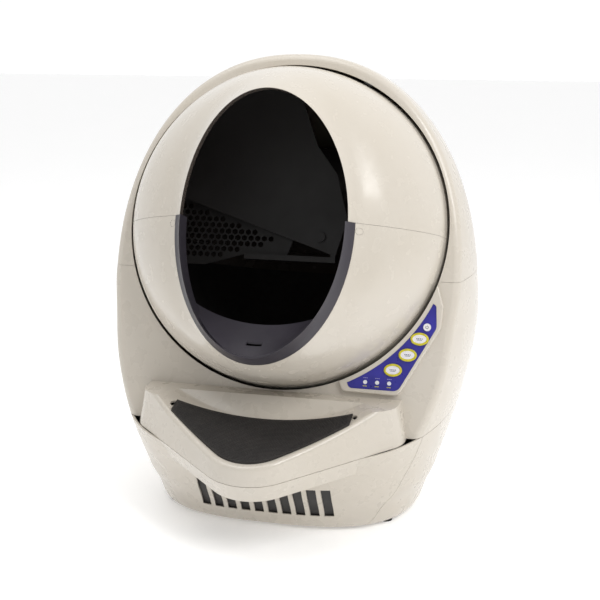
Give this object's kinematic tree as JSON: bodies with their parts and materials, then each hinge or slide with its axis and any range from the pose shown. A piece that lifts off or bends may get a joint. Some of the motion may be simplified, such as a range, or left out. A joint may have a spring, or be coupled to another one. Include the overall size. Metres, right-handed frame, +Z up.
{
  "type": "self-cleaning cat litter box",
  "caption": "Egg-shaped self-cleaning cat litter box: a tilted globe with an oval entry turns inside a hooded base, above a waste drawer that slides out under a ribbed step.",
  "frame": {"origin": "on the floor, under the middle of the whole object", "axes": "+Z up, the entry and the drawer face -Y, +X is to the right of someone facing the entry"},
  "size_m": [0.6094, 0.6862, 0.7378],
  "materials": {
    "body_plastic": "smooth gloss",
    "trim_plastic": "satin",
    "dark_plastic": "satin",
    "black_rubber": "matt, ribbed on the step",
    "gear_plastic": "moulded",
    "roller_rubber": "smooth",
    "inner_plastic": "moulded",
    "steel": "plated",
    "filter_felt": "fibrous pad",
    "panel_blue": "printed film",
    "light_lens": "clear lens",
    "button_white": "smooth",
    "board_green": "solder mask"
  },
  "bodies": {
    "base": {"upper_base": "body_plastic", "lower_base": "body_plastic", "step_mat": "black_rubber", "bonnet_latch_left": "body_plastic", "bonnet_latch_right": "body_plastic", "deck": "inner_plastic", "panel_bezel": "body_plastic", "panel_overlay": "panel_blue", "status_lights": "light_lens", "control_board": "board_green", "roller_axles": "steel", "gearbox": "inner_plastic", "gear_motor": "steel", "motor_bracket": "steel", "rubber_feet": "black_rubber", "weight_sensors": "steel", "power_inlet": "dark_plastic", "roller_bracket_front_left": "inner_plastic", "roller_bracket_front_right": "inner_plastic", "roller_bracket_rear_left": "inner_plastic", "roller_bracket_rear_right": "inner_plastic"},
    "bonnet": {"bonnet": "body_plastic", "ring_pads": "dark_plastic"},
    "globe": {"globe_upper": "body_plastic", "globe_lower": "body_plastic", "port_trim": "trim_plastic", "globe_plugs": "body_plastic", "globe_liner": "black_rubber", "septum": "dark_plastic", "septum_boss": "dark_plastic", "sifting_screen": "dark_plastic", "gear_track": "gear_plastic"},
    "drive": {"drive_gear": "gear_plastic"},
    "drawer": {"drawer_front": "body_plastic", "drawer_tray": "inner_plastic", "bag_frame": "dark_plastic", "carbon_filter": "filter_felt", "filter_holder": "dark_plastic", "vent_screen": "dark_plastic"},
    "roller_front_left": {"roller_front_left": "roller_rubber"},
    "roller_rear_left": {"roller_rear_left": "roller_rubber"},
    "roller_front_right": {"roller_front_right": "roller_rubber"},
    "roller_rear_right": {"roller_rear_right": "roller_rubber"},
    "button_power": {"button_power": "button_white"},
    "button_cycle": {"button_cycle": "button_white"},
    "button_empty": {"button_empty": "button_white"},
    "button_reset": {"button_reset": "button_white"}
  },
  "joints": [
    {"name": "globe_spin", "type": "hinge", "parent": "base", "child": "globe", "pos_m": [0, 0.00125, 0.44775], "axis": [0, -0.9511, 0.309], "continuous": true},
    {"name": "drive_spin", "type": "hinge", "parent": "base", "child": "drive", "pos_m": [0.23798, -0.05621, 0.27092], "axis": [0, -0.9511, 0.309], "continuous": true},
    {"name": "drawer_slide", "type": "slide", "parent": "base", "child": "drawer", "axis": [0, -1, 0], "range_m": [0, 0.34]},
    {"name": "bonnet_lift", "type": "slide", "parent": "base", "child": "bonnet", "axis": [0, -0.2588, 0.9659], "range_m": [0, 0.25]},
    {"name": "roller_front_left_spin", "type": "hinge", "parent": "base", "child": "roller_front_left", "pos_m": [-0.16536, -0.09075, 0.22932], "axis": [0, -0.9511, 0.309], "continuous": true},
    {"name": "roller_rear_left_spin", "type": "hinge", "parent": "base", "child": "roller_rear_left", "pos_m": [-0.16536, -0.05271, 0.21696], "axis": [0, -0.9511, 0.309], "continuous": true},
    {"name": "roller_front_right_spin", "type": "hinge", "parent": "base", "child": "roller_front_right", "pos_m": [0.16536, -0.09075, 0.22932], "axis": [0, -0.9511, 0.309], "continuous": true},
    {"name": "roller_rear_right_spin", "type": "hinge", "parent": "base", "child": "roller_rear_right", "pos_m": [0.16536, -0.05271, 0.21696], "axis": [0, -0.9511, 0.309], "continuous": true},
    {"name": "button_power_press", "type": "slide", "parent": "base", "child": "button_power", "axis": [0, 0.9511, -0.309], "range_m": [0, 0.0015], "stiffness_N_per_m": 300},
    {"name": "button_cycle_press", "type": "slide", "parent": "base", "child": "button_cycle", "axis": [0, 0.9511, -0.309], "range_m": [0, 0.0015], "stiffness_N_per_m": 300},
    {"name": "button_empty_press", "type": "slide", "parent": "base", "child": "button_empty", "axis": [0, 0.9511, -0.309], "range_m": [0, 0.0015], "stiffness_N_per_m": 300},
    {"name": "button_reset_press", "type": "slide", "parent": "base", "child": "button_reset", "axis": [0, 0.9511, -0.309], "range_m": [0, 0.0015], "stiffness_N_per_m": 300}
  ],
  "couplings": [
    {"joint": "drive_spin", "follows": "globe_spin", "ratio": -10.615},
    {"joint": "roller_front_left_spin", "follows": "globe_spin", "ratio": -19.571},
    {"joint": "roller_rear_left_spin", "follows": "globe_spin", "ratio": -19.571},
    {"joint": "roller_front_right_spin", "follows": "globe_spin", "ratio": -19.571},
    {"joint": "roller_rear_right_spin", "follows": "globe_spin", "ratio": -19.571}
  ]
}
